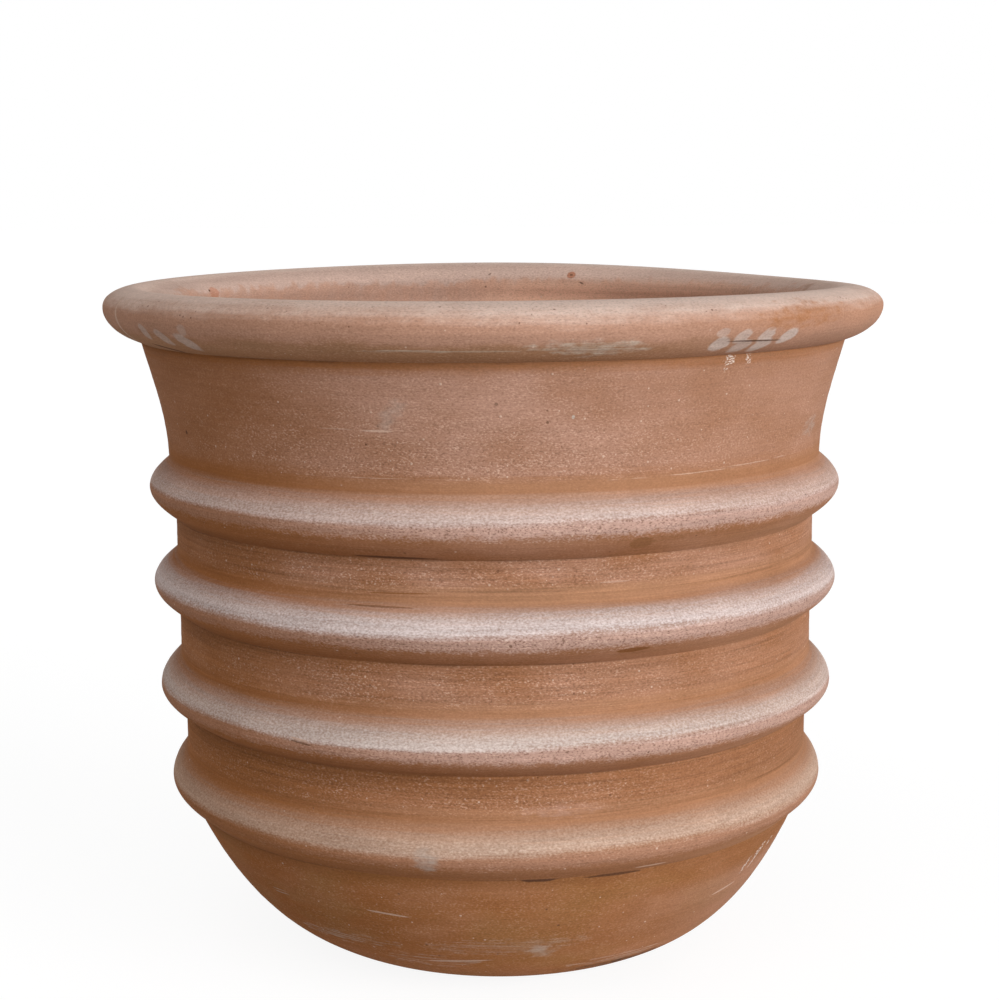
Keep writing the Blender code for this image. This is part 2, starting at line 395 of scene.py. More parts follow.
class Clay:
    """A fired clay surface while it is built up, coat over coat. Its places are in millimetres."""

    def __init__(self, name):
        self.material = bpy.data.materials.new(name)
        self.material.use_nodes = True
        self.tree = self.material.node_tree
        place = node(self.tree, "ShaderNodeTexCoord", output=3)
        self.place = place.vector("MULTIPLY", (1 / MM, 1 / MM, 1 / MM))
        x, y, self.height = self.place.parts()
        self.angle = x.math("ARCTAN2", -y) * degrees(1.0)
        self.radius = (x * x + y * y) ** 0.5
        # Lumps of every size in the clay, from soft clouds down to single grains
        self.cloud = self.grain(55.0, 24.0, detail=5.0, seed=1.0)
        self.fleck = self.grain(9.0, 3.5, detail=4.0, seed=6.0)
        self.streak = self.grain(150.0, 3.6, detail=4.0, seed=2.0)
        self.hair = self.grain(60.0, 0.9, detail=2.0, seed=3.0)
        self.grit = self.grain(1.7, 1.0, detail=2.0, seed=4.0)
        # Sides of the pot: painted shade on the left, away from the lamp; the right faces the lamp; weather
        # wear between
        self.shaded_side = x.rise(30.0, -190.0)
        self.sunny = x.rise(60.0, 210.0)
        self.lamp_side = x.rise(-60.0, 200.0)
        self.weather = x.hump(-80.0, 30.0, 150.0)
        # Haze thins on the shaded left and towards the lamp, as painted shade
        self.haze_thinned_at_sides = 1.0 - self.shaded_side * self.shaded_side * 0.75 - self.lamp_side * 0.40
        # The bloom hangs lower left of the middle and ends higher right of it
        self.sag = x.hump(-130.0, -50.0, 50.0) - x.hump(60.0, 130.0, 50.0)
        # The outline says where the inside is, which has no bloom and no marks of handling
        lining = node(self.tree, "ShaderNodeAttribute", {"attribute_name": "inside"}, output=2)
        self.outside = 1.0 - lining
        self.bump = self.grit * 0.14 + self.hair * 0.12 + self.streak * 0.30
        self.colour = self.mixed(self.streak.rise(0.40, 0.70) * 0.7, ORANGE_CLAY, BROWN_CLAY)
        # Painted shade: the left side, away from the lamp, darker and deeper in colour
        self.coat(SHADED_SIDE_CLAY, self.shaded_side * 0.8)

    def mixed(self, share, first, second, how="MIX"):
        settings = {"data_type": "RGBA", "blend_type": how}
        return node(self.tree, "ShaderNodeMix", settings, {0: share, 6: first, 7: second}, output=2)

    def grain(self, around, up, detail=2.0, seed=0.0):
        return grain(self.place, around, up, detail, seed)

    def coat(self, colour, share):
        """Lays a colour over what is there."""
        self.colour = self.mixed(share, self.colour, colour)

    def shade(self, factor):
        """Multiplies the colour by another one or by a grey value."""
        self.colour = self.mixed(1.0, self.colour, factor, "MULTIPLY")

    def specks(self, spacing, size, share, seed):
        """Scattered grains of up to this size, in a share of the places where one could lie."""
        scaled = self.place.vector("MULTIPLY", (1 / spacing, 1 / spacing, 1 / spacing))
        moved = scaled.vector("ADD", (seed, seed, seed))
        near = node(self.tree, "ShaderNodeTexVoronoi", {}, {"Vector": moved, "Scale": 1.0})
        chance, large, _ = near.also(1).parts()
        reach = (large * large * 0.7 + 0.3) * (size / spacing)
        return near.rise(reach, reach * 0.5) * (share - chance).rise(0.0, 0.02)

    def sandy(self, share):
        """Rubs the surface open so that its sand shows: fine pale grains, a few large ones and dark pits."""
        open_share = (self.weather * 0.6 + 0.4) * (self.outside * 0.6 + 0.4) * share
        crowded = self.grain(34.0, 7.0, detail=3.0, seed=14.0).rise(0.30, 0.62) * 0.75 + 0.35
        fine = self.grit.rise(0.52, 0.68) * self.fleck.rise(0.25, 0.60) * crowded
        self.coat(PALE_GRIT, fine * open_share * 0.55)
        self.coat(DARK_GRIT, self.grit.rise(0.46, 0.30) * open_share * 0.50)
        large = self.specks(4.0, 1.1, open_share * 0.4, 11.0)
        self.coat(PALE_GRIT, large * 0.8)
        pits = self.specks(8.0, 1.4, open_share * 0.4 + 0.03, 17.0)
        self.coat(DARK_GRIT, pits * 0.7)
        self.bump = self.bump + fine * open_share * 0.15 + large * 0.15 - pits * 0.30

    def shade_and_crack_crease(self, height, share, width, cracked):
        """Paints shade into the corner under a roll, less towards the lamp, and cracks it here and there."""
        corner = self.height.rise(height - width, height) * self.height.rise(height + width, height)
        shaded = (1.0 - self.lamp_side * 0.75) * self.outside
        self.coat(CREASE_SHADE_AND_STAIN, corner * shaded * share)
        crack = (self.height + (self.streak - 0.5) * 2.0).hump(height - 0.2, height + 0.3, 0.7)
        open_joint = self.cloud.rise(0.40, 0.60) * (1.0 - self.lamp_side * 0.4) * self.outside
        self.coat(CRACK, crack * open_joint * cracked)

    def mark(self, kind, angle, height, half_width, half_height, slant, colour, share):
        """Lays one oval mark. The slant is how much it climbs for each step to the right."""
        ragged, softness = MARK_EDGES[kind]
        across = (self.angle - angle) * self.radius * radians(1.0)
        up = (self.height - height - across * slant) / half_height
        across = across / half_width
        shape = 1.0 - across * across - up * up + (self.fleck - 0.5) * ragged
        shape = shape.rise(0.0, softness)
        if kind == "chalk":
            shape = shape * self.grit.rise(0.45, 0.60)
        elif kind == "scuff":
            shape = shape * self.hair.rise(0.44, 0.60)
        self.coat(colour, shape * self.outside * share)

    def fired(self, lines, lamp_side_shade=0.06):
        """Closes the material.

        The lines are how strongly the marks of throwing and wiping show. The side towards the lamp is
        darkened by the share given, as painted shade.
        """
        wiped = ((self.streak - 0.5) * 0.45 + (self.hair - 0.5) * 0.42) * lines
        mottled = (self.cloud - 0.5) * 0.25 + (self.fleck - 0.5) * 0.14 + (self.grit - 0.5) * 0.48
        self.shade(wiped + mottled - self.lamp_side * lamp_side_shade + 1.0)
        shader = self.tree.nodes["Principled BSDF"]
        shader.inputs["Specular IOR Level"].default_value = CLAY_SHEEN_LEVEL
        self.tree.links.new(self.colour.socket, shader.inputs["Base Color"])
        rough = self.cloud.rise(0.2, 0.8) * 0.1 + (CLAY_ROUGHNESS - 0.05)
        self.tree.links.new(rough.socket, shader.inputs["Roughness"])
        bump = node(self.tree, "ShaderNodeBump", {}, {"Height": self.bump, "Distance": MM, "Strength": 1.0})
        self.tree.links.new(bump.socket, shader.inputs["Normal"])
        return self.material


def between(value, low, high):
    """0 at low, 1 at high and smooth between."""
    share = min(max((value - low) / (high - low), 0.0), 1.0)
    return share * share * (3 - 2 * share)


def disc_outline():
    hole = DRAIN_RADIUS + DRAIN_SOFTENING

    def underside(share):
        across = hole + (DISC_RADIUS - hole) * share
        return Vector((across, DISC_HOLLOW * (1 - between(across, *DISC_HOLLOW_EDGE))))

    def topside(share):
        across = DISC_RADIUS - DISC_BEVEL + (hole - DISC_RADIUS + DISC_BEVEL) * share
        ring = DISC_RING_DEPTH * sin(2 * pi * across / DISC_RING_PITCH)
        ring = ring * min(share, DISC_RING_FADE) / DISC_RING_FADE
        return Vector((across, DISC_TOP + ring * (1 - between(share, 1 - DISC_RING_FADE, 1.0))))

    corner = DRAIN_SOFTENING
    hole_top = Vector((DRAIN_RADIUS, DISC_TOP - corner))
    hole_foot = Vector((DRAIN_RADIUS, DISC_HOLLOW + corner))
    return traced(
        (underside, DISC_SPACING, 0.0),
        (straight(Vector((DISC_RADIUS, 0.0)), topside(0.0)), HIDDEN_SPACING, 0.0),
        (topside, DISC_SPACING, 1.0),
        (rounded(Vector((hole, DISC_TOP - corner)), corner, corner, 90, 180), DRAIN_SPACING, 1.0),
        (straight(hole_top, hole_foot), DISC_SPACING, 0.0),
        (rounded(Vector((hole, DISC_HOLLOW + corner)), corner, corner, 180, 270), DRAIN_SPACING, 0.0),
    )


disc_clay = Clay("terracotta_disc")
disc_clay.sandy(0.6)
base_disc = thrown("base_disc", disc_outline(), disc_clay.fired(1.0))
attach(base_disc, "root")
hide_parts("base_disc")


# Bowl: the round bottom of the pot, raised from the edge of the disc and finished with a rib. Its top edge
# is bevelled for the first wall ring and lies behind the lowest cordon.
BOWL_RADIUS = 224.4
BOWL_LEAN = 23.8
BOWL_REACH = 80.9
FOOT_SLOPE = 8.0
FOOT_REACH = 46.5
WALL_THICKNESS = 18.0
BEVEL_FALL = 8.0
JOINT_SMEAR = 1.3
JOINT_SMEAR_HEIGHT = 7.0
# A pair of heights is where a coat sets in and where it is full
BOWL_HAZED_BELOW = (95.0, 75.0)
BOWL_PAINTED_LIGHT_BELOW = (55.0, 20.0)
BOWL_PAINTED_SHADE_ABOVE = (75.0, 95.0)

BOWL_TINT = (0.98, 0.91, 0.72, 1.0)
OCHRE_STAIN = (0.300, 0.140, 0.048, 1.0)
LIMESCALE = (0.480, 0.400, 0.340, 1.0)
SCRATCHED_CLAY = (0.560, 0.380, 0.290, 1.0)
CHALK = (0.640, 0.540, 0.470, 1.0)
# A mark is its kind, angle, height, half width, half height, slant, colour and share
BOWL_MARKS = (
    ("scratch", -20.6, 75.2, 16.0, 0.8, -0.06, SCRATCHED_CLAY, 0.9),
    ("scratch", -8.0, 34.3, 26.0, 1.0, 0.10, SCRATCHED_CLAY, 0.9),
    ("scratch", 50.6, 68.3, 15.0, 0.9, 0.13, SCRATCHED_CLAY, 0.9),
    ("chalk", 54.8, 83.5, 3.5, 4.5, 1.2, CHALK, 0.9),
    ("chalk", 58.5, 90.0, 4.5, 5.5, 0.8, CHALK, 0.9),
    ("chalk", 62.5, 92.5, 4.5, 4.5, 0.6, CHALK, 0.8),
    ("scratch", 58.0, 84.0, 5.0, 1.2, 1.4, CHALK, 0.8),
    ("smudge", 8.8, 45.0, 12.0, 8.0, 0.0, LIMESCALE, 0.45),
    ("scuff", -14.0, 33.0, 40.0, 7.0, 0.05, LIMESCALE, 0.45),
    ("scuff", 2.0, 50.0, 60.0, 9.0, 0.05, LIMESCALE, 0.30),
    ("scuff", -34.0, 44.0, 50.0, 6.0, 0.05, LIMESCALE, 0.45),
    ("smudge", 34.0, 17.0, 50.0, 9.0, 0.03, CRACK, 0.90),
    ("scuff", 30.0, 26.0, 40.0, 5.0, 0.03, SCRATCHED_CLAY, 0.9),
    ("scuff", -46.0, 73.0, 13.0, 2.5, 0.0, LIMESCALE, 0.5),
    ("smudge", 27.0, 74.0, 16.0, 14.0, 0.0, CREASE_SHADE_AND_STAIN, 0.35),
    ("crack", 7.3, 107.8, 14.0, 2.0, 0.02, CRACK, 0.9),
    ("crack", 20.0, 107.0, 24.0, 1.2, 0.0, CRACK, 0.8),
)


class Joint:
    """A joint between two stages, and the cordon over it, placed by the cordon's node in the frame."""

    def __init__(self, number, radius_below, radius_above, underside, edge):
        low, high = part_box(f"cordon_{number}")
        self.number = number
        self.crease = low.z / MM
        self.top = high.z / MM
        self.crest = self.crease + underside
        self.crest_radius = high.x / MM
        self.edge = self.crest + edge
        self.radius_below = radius_below
        self.radius_above = radius_above

    def wall(self, height):
        """The wall's outer radius behind the cordon."""
        share = (height - self.crease) / (self.top - self.crease)
        return self.radius_below + (self.radius_above - self.radius_below) * share

    def outer_corner(self):
        height = self.crest - BEVEL_FALL / 2
        return Vector((self.wall(height), height))

    def inner_corner(self):
        height = self.crest + BEVEL_FALL / 2
        return Vector((self.wall(height) - WALL_THICKNESS - JOINT_SMEAR, height))

    def smear(self, height):
        """How far the clay smeared over the joint stands in from the wall inside."""
        away = (height - self.crest - BEVEL_FALL / 2) / JOINT_SMEAR_HEIGHT
        return JOINT_SMEAR / (1 + away * away) ** 2


# Each joint has the wall's radius below and above it, the height of its cordon's underside, and the height
# of the bloom's lower edge over the cordon's crest
LOWER_WALL_RADIUS = 228.9
MIDDLE_WALL_RADIUS = 231.4
UPPER_WALL_RADIUS = 232.1
NECK_RADIUS = 236.2
JOINTS = [
    Joint(1, BOWL_RADIUS, LOWER_WALL_RADIUS, 18.5, 1.2),
    Joint(2, LOWER_WALL_RADIUS, MIDDLE_WALL_RADIUS, 17.0, 4.1),
    Joint(3, MIDDLE_WALL_RADIUS, UPPER_WALL_RADIUS, 20.0, 0.9),
    Joint(4, UPPER_WALL_RADIUS, NECK_RADIUS, 21.5, 3.6),
]


def lined(curve, *joints):
    """An inner run of an outline, thickened where clay was smeared over these joints."""

    def at(share):
        place = curve(share)
        return place - Vector((sum(joint.smear(place.y) for joint in joints), 0.0))

    return at


def bowl_outline(joint):
    slope = Vector((cos(radians(FOOT_SLOPE)), sin(radians(FOOT_SLOPE))))
    lean = Vector((sin(radians(BOWL_LEAN)), cos(radians(BOWL_LEAN))))
    foot = Vector((DISC_RADIUS, 0.0))
    brim = Vector((BOWL_RADIUS, joint.crease))
    outer = swept(foot, foot + slope * FOOT_REACH, brim - lean * BOWL_REACH, brim)
    floor = Vector((DISC_RADIUS - DISC_BEVEL, DISC_TOP))
    inner_brim = Vector((BOWL_RADIUS - WALL_THICKNESS, joint.crease))
    shrink = 1 - WALL_THICKNESS / joint.crease
    floor_handle = floor + slope * FOOT_REACH * shrink
    inner = swept(inner_brim, inner_brim - lean * BOWL_REACH * shrink, floor_handle, floor)
    top = joint.inner_corner() + Vector((JOINT_SMEAR, 0.0))
    return traced(
        (outer, SEEN_SPACING, 0.0),
        (straight(brim, joint.outer_corner()), HIDDEN_SPACING, 0.0),
        (straight(joint.outer_corner(), joint.inner_corner()), HIDDEN_SPACING, 0.0),
        (lined(straight(top, inner_brim), joint), LINING_SPACING, 1.0),
        (lined(inner, joint), LINING_SPACING, 1.0),
        (straight(floor, foot), HIDDEN_SPACING, 1.0),
    )


bowl_clay = Clay("terracotta_bowl")
# The bowl is browner than the wall, stained, and hazed pink low on its right side. Painted light brightens it
# towards the foot, and painted shade darkens the top of its right side, which faces the lamp
bowl_clay.shade(BOWL_TINT)
bowl_clay.coat(PINK_HAZE, bowl_clay.cloud.rise(0.35, 0.80) * 0.18)
bowl_clay.coat(OCHRE_STAIN, bowl_clay.grain(70.0, 30.0, detail=3.0, seed=8.0).rise(0.45, 0.75) * 0.6)
bowl_clay.coat(PINK_HAZE, bowl_clay.sunny * bowl_clay.height.rise(*BOWL_HAZED_BELOW) * 0.50)
bowl_clay.shade(1.0 + bowl_clay.height.rise(*BOWL_PAINTED_LIGHT_BELOW) * 0.2)
bowl_clay.shade(1.0 - bowl_clay.sunny * bowl_clay.height.rise(*BOWL_PAINTED_SHADE_ABOVE) * 0.12)
bowl_clay.sandy(0.35)
# Painted shade in the crease under the lowest cordon
bowl_clay.shade_and_crack_crease(JOINTS[0].crease, share=0.60, width=12.0, cracked=0.3)
for mark in BOWL_MARKS:
    bowl_clay.mark(*mark)
bowl = thrown("bowl", bowl_outline(JOINTS[0]), bowl_clay.fired(0.60))
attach(bowl, "root")
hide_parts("bowl")


# Wall rings: three short stages of wall. Each was thrown, left to stiffen and luted to the one below it, and
# only about 30 mm of it shows between its two cordons.
def ring_outline(below, above):
    radius = below.radius_above
    foot = Vector((radius, below.top))
    head = Vector((radius, above.crease))
    inner_head = above.inner_corner() + Vector((JOINT_SMEAR, 0.0))
    inner_foot = below.inner_corner() + Vector((JOINT_SMEAR, 0.0))
    bend_head = Vector((radius - WALL_THICKNESS, above.crease))
    bend_foot = Vector((radius - WALL_THICKNESS, below.top))
    return traced(
        (straight(below.outer_corner(), foot), HIDDEN_SPACING, 0.0),
        (straight(foot, head), SEEN_SPACING, 0.0),
        (straight(head, above.outer_corner()), HIDDEN_SPACING, 0.0),
        (straight(above.outer_corner(), above.inner_corner()), HIDDEN_SPACING, 0.0),
        (lined(straight(inner_head, bend_head), above, below), LINING_SPACING, 1.0),
        (lined(straight(bend_head, bend_foot), above, below), LINING_SPACING, 1.0),
        (lined(straight(bend_foot, inner_foot), above, below), LINING_SPACING, 1.0),
        (straight(below.inner_corner(), below.outer_corner()), HIDDEN_SPACING, 1.0),
    )


RING_NAMES = ("lower_wall_ring", "middle_wall_ring", "upper_wall_ring")
RING_HAZES = (0.10, 0.38, 0.50)
RING_PAINTED_SHADOWS = ((0.60, 18.0), (0.45, 13.0), (0.45, 11.0))
RING_SMOOTH_BAND = 9.0
RING_PAINTED_SHADE_BELOW = (180.0, 170.0)
RING_LINES = 1.5
RING_MARKS = (
    ("lower_wall_ring", ("smudge", 11.0, 154.0, 36.0, 7.0, 0.0, PINK_HAZE, 0.55)),
    ("upper_wall_ring", ("crack", -14.9, 297.2, 24.0, 0.6, 0.02, CREASE_SHADE_AND_STAIN, 0.8)),
    ("upper_wall_ring", ("scratch", 19.1, 302.9, 11.0, 0.6, 0.0, SCRATCHED_CLAY, 0.45)),
)

SMOOTH_CLAY = (0.395, 0.202, 0.111, 1.0)
SMOOTH_SHARES = (0.5, 0.6, 0.9, 0.7)
SMOOTH_BELOW = 7.0
SMOOTH_ABOVE = 8.0
SMOOTH_EDGE = 6.0
BLOOM_COLOURS = (
    (0.580, 0.450, 0.365, 1.0),
    (0.600, 0.515, 0.475, 1.0),
    (0.640, 0.550, 0.530, 1.0),
    (0.630, 0.520, 0.485, 1.0),
)
BLOOM_SHARES = (0.68, 0.90, 1.00, 0.86)
# Bloom is thinned on the side towards the lamp, as painted shade
BLOOM_SUNNY_SHARES = (-0.05, -0.20, -0.20, -0.25)
BLOOM_REACHES = (3.0, 3.0, 1.0, 5.0)
BLOOM_EDGES = (4.0, 2.5, 4.0, 2.5)
BLOOM_FULL_DEPTH = 12.0


def bloomed(clay, joint):
    """Dries salts out pale on the upper side of a cordon, fading up the wall above it."""
    colour = BLOOM_COLOURS[joint.number - 1]
    softness = BLOOM_EDGES[joint.number - 1]
    reach = BLOOM_REACHES[joint.number - 1]
    smooth = clay.height.hump(joint.top - SMOOTH_BELOW, joint.top + SMOOTH_ABOVE, SMOOTH_EDGE)
    # Painted shade: the smooth band thins on the shaded left and towards the lamp
    smooth = smooth * (1.0 - clay.shaded_side - clay.sunny * 0.5) * clay.outside
    clay.coat(SMOOTH_CLAY, smooth * SMOOTH_SHARES[joint.number - 1])
    fading = clay.height + (clay.streak - 0.5) * 10.0 + (clay.hair - 0.5) * 5.0
    upper = fading.rise(joint.top + reach, joint.top - BLOOM_FULL_DEPTH)
    ragged = clay.height + (clay.streak - 0.5) * 4.0 + (clay.grit - 0.5) * 3.0 + (clay.fleck - 0.5) * 2.0
    lower = (ragged + clay.sag * 1.2).rise(joint.edge - 2.0, joint.edge + softness)
    # The bloom thins on the shaded left and towards the lamp, as painted shade
    strength = BLOOM_SHARES[joint.number - 1] - clay.shaded_side * 0.15
    strength = strength + clay.sunny * BLOOM_SUNNY_SHARES[joint.number - 1]
    thickness = clay.streak * 0.4 + (clay.grit - 0.5) * 1.3 + 0.68
    clay.coat(colour, upper * lower * thickness * strength * clay.outside)


for name, haze, shadow, below, above in zip(RING_NAMES, RING_HAZES, RING_PAINTED_SHADOWS, JOINTS, JOINTS[1:]):
    # Sandy and hazed where the ring stands clear, and wiped smooth beside the cordon below it
    ring_clay = Clay("terracotta_" + name)
    worn_line = ring_clay.height + (ring_clay.streak - 0.5) * 10.0 + (ring_clay.fleck - 0.5) * 4.0
    worn = worn_line.rise(below.top + 1.0, below.top + RING_SMOOTH_BAND + 3.0)
    ring_clay.coat(PINK_HAZE, worn * ring_clay.cloud.rise(0.15, 0.75) * ring_clay.haze_thinned_at_sides * (haze * 1.35))
    ring_clay.sandy(worn * 0.9)
    bloomed(ring_clay, below)
    # Painted shade: darker low on the side towards the lamp, and in the crease under the cordon above
    ring_clay.shade(1.0 - ring_clay.sunny * ring_clay.height.rise(*RING_PAINTED_SHADE_BELOW) * 0.12)
    ring_clay.shade_and_crack_crease(above.crease, *shadow, cracked=0.3)
    for ring_name, mark in RING_MARKS:
        if ring_name == name:
            ring_clay.mark(*mark)
    wall_ring = thrown(name, ring_outline(below, above), ring_clay.fired(RING_LINES))
    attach(wall_ring, "root")
    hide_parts(name)


# Neck: the last stage, drawn up thinner and opened out towards the mouth. Its wall is the widest plain
# surface of the pot, and the grit of the clay shows best on it.
NECK_FOOT_REACH = 28.0
MOUTH_RADIUS = 253.35
MOUTH_HEIGHT = 444.1
MOUTH_LEAN = 16.0
MOUTH_REACH = 32.0
NECK_TOP = 446.3
NECK_SMOOTH_BAND = 20.0
NECK_WORN_TOP = (445.0, 434.0)
NECK_SANDY_BELOW = (425.0, 375.0)

GREY_SMUDGE = (0.400, 0.320, 0.270, 1.0)
NECK_MARKS = (
    ("smudge", -15.0, 411.0, 11.0, 10.0, 0.6, GREY_SMUDGE, 0.40),
    ("smudge", 65.0, 388.0, 18.0, 9.0, 0.0, GREY_SMUDGE, 0.50),
    ("scratch", -17.4, 401.0, 12.0, 0.7, 0.0, SCRATCHED_CLAY, 0.9),
    ("scratch", -24.0, 401.5, 14.0, 0.5, 0.0, SCRATCHED_CLAY, 0.4),
    ("scuff", -18.0, 371.0, 80.0, 0.9, 0.0, SCRATCHED_CLAY, 0.7),
    ("scuff", 38.0, 370.0, 90.0, 0.9, 0.02, SCRATCHED_CLAY, 0.6),
    ("print", 11.7, 409.8, 1.3, 1.6, 0.0, LIMESCALE, 0.9),
    ("crack", 0.5, 418.9, 1.5, 1.2, 0.0, CRACK, 0.5),
    ("crack", -60.3, 387.9, 1.8, 1.6, 0.0, CRACK, 0.8),
    ("chalk", 36.2, 441.3, 4.5, 6.0, 0.2, CHALK, 1.0),
    ("chalk", 40.0, 442.8, 3.5, 4.5, 0.3, CHALK, 0.9),
)


def neck_outline(joint):
    foot = Vector((NECK_RADIUS, joint.top))
    mouth = Vector((MOUTH_RADIUS, MOUTH_HEIGHT))
    lean = Vector((sin(radians(MOUTH_LEAN)), cos(radians(MOUTH_LEAN))))
    wall = Vector((WALL_THICKNESS, 0.0))
    foot_handle = foot + Vector((0.0, NECK_FOOT_REACH))
    mouth_handle = mouth - lean * MOUTH_REACH
    top = Vector((MOUTH_RADIUS, NECK_TOP))
    inner = swept(mouth - wall, mouth_handle - wall, foot_handle - wall, foot - wall)
    inner_foot = straight(foot - wall, joint.inner_corner() + Vector((JOINT_SMEAR, 0.0)))
    return traced(
        (straight(joint.outer_corner(), foot), HIDDEN_SPACING, 0.0),
        (swept(foot, foot_handle, mouth_handle, mouth), SEEN_SPACING, 0.0),
        (straight(mouth, top), HIDDEN_SPACING, 0.0),
        (straight(top, top - wall), HIDDEN_SPACING, 0.0),
        (straight(top - wall, mouth - wall), HIDDEN_SPACING, 1.0),
        (inner, LINING_SPACING, 1.0),
        (lined(inner_foot, joint), LINING_SPACING, 1.0),
        (straight(joint.inner_corner(), joint.outer_corner()), HIDDEN_SPACING, 1.0),
    )


neck_clay = Clay("terracotta_neck")
# The haze and the sand stop short of the wiped bands under the rim and above the cordon
neck_line = neck_clay.height + (neck_clay.streak - 0.5) * 12.0 + (neck_clay.fleck - 0.5) * 5.0
neck_foot = JOINTS[3].top
neck_worn = neck_line.rise(neck_foot + 4.0, neck_foot + NECK_SMOOTH_BAND) * neck_line.rise(*NECK_WORN_TOP)
neck_haze = (neck_clay.cloud.rise(0.10, 0.75) * 0.50 + 0.34) * neck_clay.haze_thinned_at_sides
neck_clay.coat(PINK_HAZE, neck_worn * neck_haze)
neck_clay.sandy(neck_worn * (0.45 + neck_clay.height.rise(*NECK_SANDY_BELOW) * 0.45))
bloomed(neck_clay, JOINTS[3])
# Painted shade in the crease under the rim roll
neck_clay.shade_and_crack_crease(MOUTH_HEIGHT, share=0.30, width=6.0, cracked=0.3)
for mark in NECK_MARKS:
    neck_clay.mark(*mark)
neck = thrown("neck_ring", neck_outline(JOINTS[3]), neck_clay.fired(0.45))
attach(neck, "root")
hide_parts("neck_ring")


# Cordons: thick coils of clay pressed round the joints and run round with a wet thumb and a rib. Slip and
# salts dried pale on their upper sides.
UNDERSIDE_FULLNESS = (1.3, 1.2, 1.2, 1.2)
TOPSIDE_FULLNESS = 0.43
CORDON_FILLET = 3.5
CORDON_BED = 2.5
CORDON_BED_OVERLAP = 1.0
CORDON_SPACING = 1.5
TOPSIDE_RUN_OUT = 1.25
TOPSIDE_TAIL_SLOPE = 1.3

BLOOM_BAND = (0.470, 0.300, 0.245, 1.0)
BAND_SHARES = (0.25, 0.85, 0.90, 0.95)
BAND_WIDTH = 8.5
BAND_EDGE = 3.0
STAIN = (0.270, 0.120, 0.052, 1.0)
PAINTED_UNDERSIDE_LIGHT = (0.500, 0.270, 0.150, 1.0)
CORDON_MARKS = (
    (1, ("smudge", -10.7, 125.5, 10.0, 12.0, 0.0, GREY_SMUDGE, 0.80)),
    (1, ("scratch", 26.5, 110.5, 13.0, 0.8, 0.0, SCRATCHED_CLAY, 0.8)),
    (2, ("scratch", -30.9, 199.0, 8.0, 0.9, -0.1, SCRATCHED_CLAY, 0.8)),
    (2, ("crack", -30.5, 197.0, 9.0, 0.6, -0.1, CRACK, 0.6)),
    (3, ("smudge", 21.5, 258.5, 16.0, 4.5, 0.1, STAIN, 0.70)),
    (3, ("crack", 21.2, 260.4, 13.0, 2.0, 0.05, CREASE_SHADE_AND_STAIN, 0.90)),
    (3, ("crack", -18.0, 288.9, 26.0, 0.6, 0.0, CREASE_SHADE_AND_STAIN, 0.7)),
    (4, ("print", 22.3, 328.8, 9.0, 4.8, 0.05, STAIN, 0.95)),
    (4, ("smudge", 26.5, 331.0, 22.0, 3.5, 0.08, STAIN, 0.60)),
    (4, ("crack", -15.5, 320.3, 34.0, 0.9, 0.0, CRACK, 0.8)),
)


def cordon_outline(joint):
    rise_below = joint.crest_radius - joint.radius_below
    rise_above = joint.crest_radius - joint.radius_above
    topside_height = joint.top - joint.crest

    def underside(share):
        swell = (1 - (1 - share) ** 2) ** UNDERSIDE_FULLNESS[joint.number - 1]
        height = joint.crease + (joint.crest - joint.crease) * share
        return Vector((joint.radius_below + rise_below * swell, height))

    def topside(share):
        run = share * TOPSIDE_RUN_OUT
        if run < 1:
            proud = rise_above * (0.5 + 0.5 * cos(pi * run)) ** TOPSIDE_FULLNESS
        else:
            proud = (1 - run) * topside_height * TOPSIDE_TAIL_SLOPE
        blend = max(CORDON_FILLET - abs(proud), 0.0) / CORDON_FILLET
        proud = max(proud, 0.0) + blend * blend * CORDON_FILLET / 4
        return Vector((joint.radius_above + proud, joint.crest + topside_height * run))

    top = topside(1.0)
    bed_top = top + Vector((-CORDON_BED, CORDON_BED_OVERLAP))
    bed_foot = Vector((joint.radius_below - CORDON_BED, joint.crease - CORDON_BED_OVERLAP))
    return traced(
        (underside, CORDON_SPACING, 0.0),
        (topside, CORDON_SPACING, 0.0),
        (straight(top, bed_top), HIDDEN_SPACING, 0.0),
        (straight(bed_top, bed_foot), HIDDEN_SPACING, 0.0),
        (straight(bed_foot, underside(0.0)), HIDDEN_SPACING, 0.0),
    )


